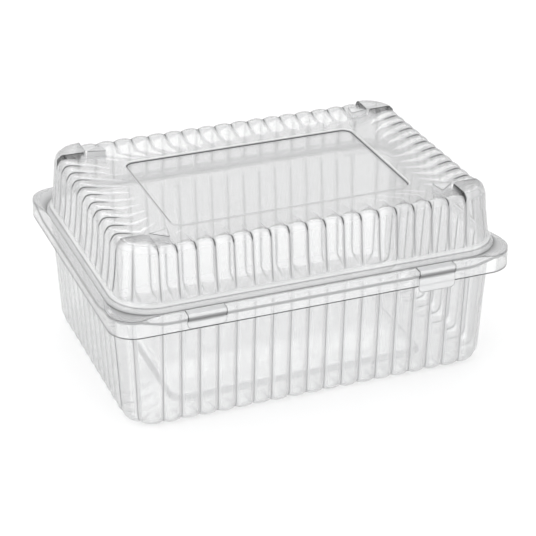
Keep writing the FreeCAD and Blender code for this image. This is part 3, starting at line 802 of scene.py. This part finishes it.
lugs = [lug(i, sx, sy) for i, (sx, sy) in enumerate(((-1, -1), (1, -1), (1, 1), (-1, 1)))]
print("lugs", len(lugs), "each", [round(v / MM, 1) for v in lugs[0].dimensions])

# %% [markdown]
# ## Latch tabs
#
# A latch tab leaves the lid's edge, turns down over the skirt and ends in a finger plate. A raised button
# band runs across its top. The right one hangs lower than the left. The band and the plate could be one bent
# strip, but the band is plain along its length and the plate through its thickness, so each is drawn in
# the plane where its shape is.


# %% Latch tabs
# A sheet of painted shade, for the strips that stand in for the catch slots.
DARK_SHEET = clear_sheet("slot_shade", Haze=0.45)
BAND_STOPS = (0.0, 0.035, 0.965, 1.0)
BUTTON_STAND, BUTTON_DROP = 0.8 * MM, 3.4 * MM
PLATE_TOP, PLATE_ROUND, PLATE_LINE = 3.3 * MM, 2.4 * MM, 0.5 * MM
SLOT_TOP, SLOT_FOOT, SLOT_SHORTER = 3.7 * MM, 6.0 * MM, 1 * MM


def latch(side):
    """The button band with its strip, and the finger plate below it. The band's third numbers are painted
    shade:
    they darken the lower part of the button and the strip that is undercut below it."""
    low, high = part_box(f"latch_tab_{side}")
    front, root = low.y, high.y
    face, drop = front + BUTTON_STAND, high.z - BUTTON_DROP
    section = [
        (root, high.z - WALL), (root, high.z), (face + 0.2 * MM, high.z),
        (front + 0.3 * MM, high.z - 0.15 * MM), (front, high.z - 0.6 * MM), (front, high.z - 1.5 * MM),
        (front, high.z - 1.9 * MM, 0.6), (front, high.z - 3.0 * MM, 0.8), (front + 0.3 * MM, drop, 0.8),
        (face - 0.15 * MM, drop, 0.9), (face - 0.15 * MM, high.z - 4.6 * MM, 0.6),
        (face - 0.05 * MM, high.z - 4.6 * MM, 0.6), (face - 0.05 * MM, drop + WALL),
        (front + WALL, high.z - 3.0 * MM), (front + WALL, high.z - 0.7 * MM),
        (face + 0.2 * MM, high.z - WALL),
    ]
    # The end rings are painted shade lines at both ends of the band.
    band = prism(f"latch_{side}", section, lambda p, end: (low.x + (high.x - low.x) * end, p[0], p[1]),
                 LATCH_SHEET, BAND_STOPS, (1.0, 0.0, 0.0, 1.0))
    middle, half = (low.x + high.x) / 2, (high.x - low.x) / 2
    plate_top = high.z - PLATE_TOP
    outline = rounded_outline(half, low.z, plate_top, PLATE_ROUND)
    plate_mid, plate_half = (low.z + plate_top) / 2, (plate_top - low.z) / 2
    levels = {0.0: (0.0, WALL), 0.5: (0.0, 0.0), 1.0: (PLATE_LINE, -0.02 * MM)}

    def lift(point, stop):
        inset, back = levels[stop]
        return (middle + point[0] * (1 - inset / half), face + back,
                plate_mid + (point[1] - plate_mid) * (1 - inset / plate_half))

    # A painted shade line runs round the plate's outline on its face.
    plate = prism(f"latch_plate_{side}", outline, lift, LATCH_SHEET, list(levels), (0.0, 0.9, 0.0))
    return band, plate


def catch_slot(side):
    """A dark strip of painted shade set in the skirt's wall, which stands for the slot that the latch snaps
    into.
    At rest it is behind the finger plate."""
    low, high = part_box(f"latch_tab_{side}")
    skirt = base_low.y + 0.02 * MM
    middle, half = (low.x + high.x) / 2, (high.x - low.x) / 2 - SLOT_SHORTER
    outline = rounded_outline(half, high.z - SLOT_FOOT, high.z - SLOT_TOP, 0.5 * MM)
    return prism(f"catch_slot_{side}", outline, lambda p, end: (middle + p[0], skirt + 0.3 * MM * end, p[1]),
                 DARK_SHEET, shades=(1.0, 1.0))


latches = {side: latch(side) for side in ("left", "right")}
slots = [catch_slot(side) for side in ("left", "right")]
for side, (_, plate) in latches.items():
    print(side, "finger plate", [round(v / MM, 1) for v in plate.dimensions])

# %% [markdown]
# ## Living hinge
#
# The hinge is a thin fold of the same sheet between the two rims. It is drawn as a C-shaped section with
# the length of the hinge, and it stays where it is drawn, on neither the base nor the lid. It could ride on
# one of them as a stiff piece, but then its other edge would stay behind.

# %% Living hinge
hinge_low, hinge_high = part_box("living_hinge")
hinge_mid = (hinge_low.z + hinge_high.z) / 2
fold_out = (hinge_high.z - hinge_low.z) / 2
fold_in = fold_out - WALL
fold_y = hinge_high.y - fold_out
outside = [(fold_y + fold_out * math.cos(math.radians(a)), hinge_mid + fold_out * math.sin(math.radians(a)))
           for a in range(-90, 91, 15)]
inside = [(fold_y + fold_in * math.cos(math.radians(a)), hinge_mid + fold_in * math.sin(math.radians(a)))
          for a in range(90, -91, -15)]
hinge_section = ([(hinge_low.y, hinge_low.z)] + outside + [(hinge_low.y, hinge_high.z)]
                 + [(hinge_low.y, hinge_mid + fold_in)] + inside + [(hinge_low.y, hinge_mid - fold_in)])
hinge_fold = prism(
    "hinge_fold", hinge_section,
    lambda p, end: (hinge_high.x if end else hinge_low.x, p[0], p[1]), LATCH_SHEET)
print("fold radius", round(fold_out / MM, 2))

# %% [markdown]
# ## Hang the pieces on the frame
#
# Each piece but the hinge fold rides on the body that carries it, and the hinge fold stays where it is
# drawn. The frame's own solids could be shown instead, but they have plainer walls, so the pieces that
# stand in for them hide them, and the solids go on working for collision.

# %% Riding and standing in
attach(base_shell, "base")
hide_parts("base_tray")
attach(lid_shell, "lid")
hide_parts("lid")
for piece in lugs:
    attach(piece, "lid")
for side, (band, plate) in latches.items():
    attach(band, side + "_latch")
    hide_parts("latch_tab_" + side)
    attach(plate, side + "_latch")
for piece in slots:
    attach(piece, "base")
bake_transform(hinge_fold)
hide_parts("living_hinge")
for piece in [base_shell, lid_shell, hinge_fold, *lugs, *slots, *latches["left"], *latches["right"]]:
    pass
print("single small pieces:", len(lugs) + len(slots), "latch pieces:", 2 * len(latches))

# %% [markdown]
# ## Floor, light and camera
#
# A white floor and a bright, even room suit clear plastic: all that shows is where the sheet greys or
# mirrors the white. The room is plain white, but what the sheet mirrors is a gradient, darker at the horizon
# than overhead, so that bent places of the sheet mirror another grey than flat ones. Black cards beside the
# object could do that too, but they would darken the floor.

# %% Floor
floor_mesh = bpy.data.meshes.new("floor")
floor_mesh.from_pydata([(-6, -6, 0), (6, -6, 0), (6, 6, 0), (-6, 6, 0)], [], [(0, 1, 2, 3)])
floor = bpy.data.objects.new("floor", floor_mesh)
bpy.context.collection.objects.link(floor)
floor.location.z = -0.0004
paper = bpy.data.materials.new("white_paper")
paper.use_nodes = True
paper.node_tree.nodes["Principled BSDF"].inputs["Base Color"].default_value = (0.93, 0.93, 0.93, 1)
paper.node_tree.nodes["Principled BSDF"].inputs["Roughness"].default_value = 0.9
paper.node_tree.nodes["Principled BSDF"].inputs["Specular IOR Level"].default_value = 0.1
floor_mesh.materials.append(paper)
print("floor", [round(v, 1) for v in floor.dimensions])

# %% Room light
ROOM_STRENGTH = 1.08
MIRROR_RAMP = ((0.0, 0.66), (0.9, 1.15))
world = bpy.data.worlds.new("room")
bpy.context.scene.world = world
world.use_nodes = True
nodes, links = world.node_tree.nodes, world.node_tree.links
room = nodes["Background"]
room.inputs["Color"].default_value = (1, 1, 1, 1)
room.inputs["Strength"].default_value = ROOM_STRENGTH
mirror_room = nodes.new("ShaderNodeBackground")
aim = nodes.new("ShaderNodeTexCoord")
split = nodes.new("ShaderNodeSeparateXYZ")
links.new(aim.outputs["Generated"], split.inputs[0])
ramp = nodes.new("ShaderNodeValToRGB")
for stop, (place, shade) in zip((0, 1), MIRROR_RAMP):
    ramp.color_ramp.elements[stop].position = place
    ramp.color_ramp.elements[stop].color = (shade, shade, shade, 1)
links.new(split.outputs["Z"], ramp.inputs["Fac"])
links.new(ramp.outputs["Color"], mirror_room.inputs["Color"])
path = nodes.new("ShaderNodeLightPath")
choose = nodes.new("ShaderNodeMixShader")
links.new(path.outputs["Is Glossy Ray"], choose.inputs[0])
links.new(room.outputs[0], choose.inputs[1])
links.new(mirror_room.outputs[0], choose.inputs[2])
links.new(choose.outputs[0], nodes["World Output"].inputs["Surface"])


def softbox(name, spot, aim_at, width, height, power):
    light = bpy.data.lights.new(name, "AREA")
    light.shape, light.size, light.size_y, light.energy = "RECTANGLE", width, height, power
    box = bpy.data.objects.new(name, light)
    bpy.context.collection.objects.link(box)
    box.location = spot
    box.rotation_euler = (Vector(aim_at) - Vector(spot)).to_track_quat("-Z", "Y").to_euler()
    return box


left_box = softbox("softbox_left", (-0.9, -0.3, 0.9), (0, 0, 0.05), 0.6, 0.9, 2.0)
back_box = softbox("softbox_back", (0.4, 1.0, 1.0), (0, 0, 0.05), 1.2, 0.5, 2.0)
print("softboxes at", [[round(v, 2) for v in box.location] for box in (left_box, back_box)])

# %% Camera
camera_data = bpy.data.cameras.new("camera")
camera = bpy.data.objects.new("camera", camera_data)
bpy.context.collection.objects.link(camera)
AZIMUTH, ELEVATION = math.radians(-21.44), math.radians(27.22)
level = math.cos(ELEVATION)
look = Vector((-math.sin(AZIMUTH) * level, math.cos(AZIMUTH) * level, -math.sin(ELEVATION)))
camera.location = (-0.32491, -0.83065 + CORE_MID_Y, 0.44084 + SKIRT_LOW)
camera.rotation_euler = look.to_track_quat("-Z", "Y").to_euler()
LENS_TO_WIDTH, SENSOR = 1800 / 536, 36
camera_data.lens = LENS_TO_WIDTH * SENSOR
camera_data.clip_start, camera_data.clip_end = 0.01, 50
scene = bpy.context.scene
scene.camera = camera
scene.view_settings.view_transform = "Standard"
scene.cycles.transparent_max_bounces = 64
scene.cycles.max_bounces = 8
print("camera", [round(v, 4) for v in camera.location])
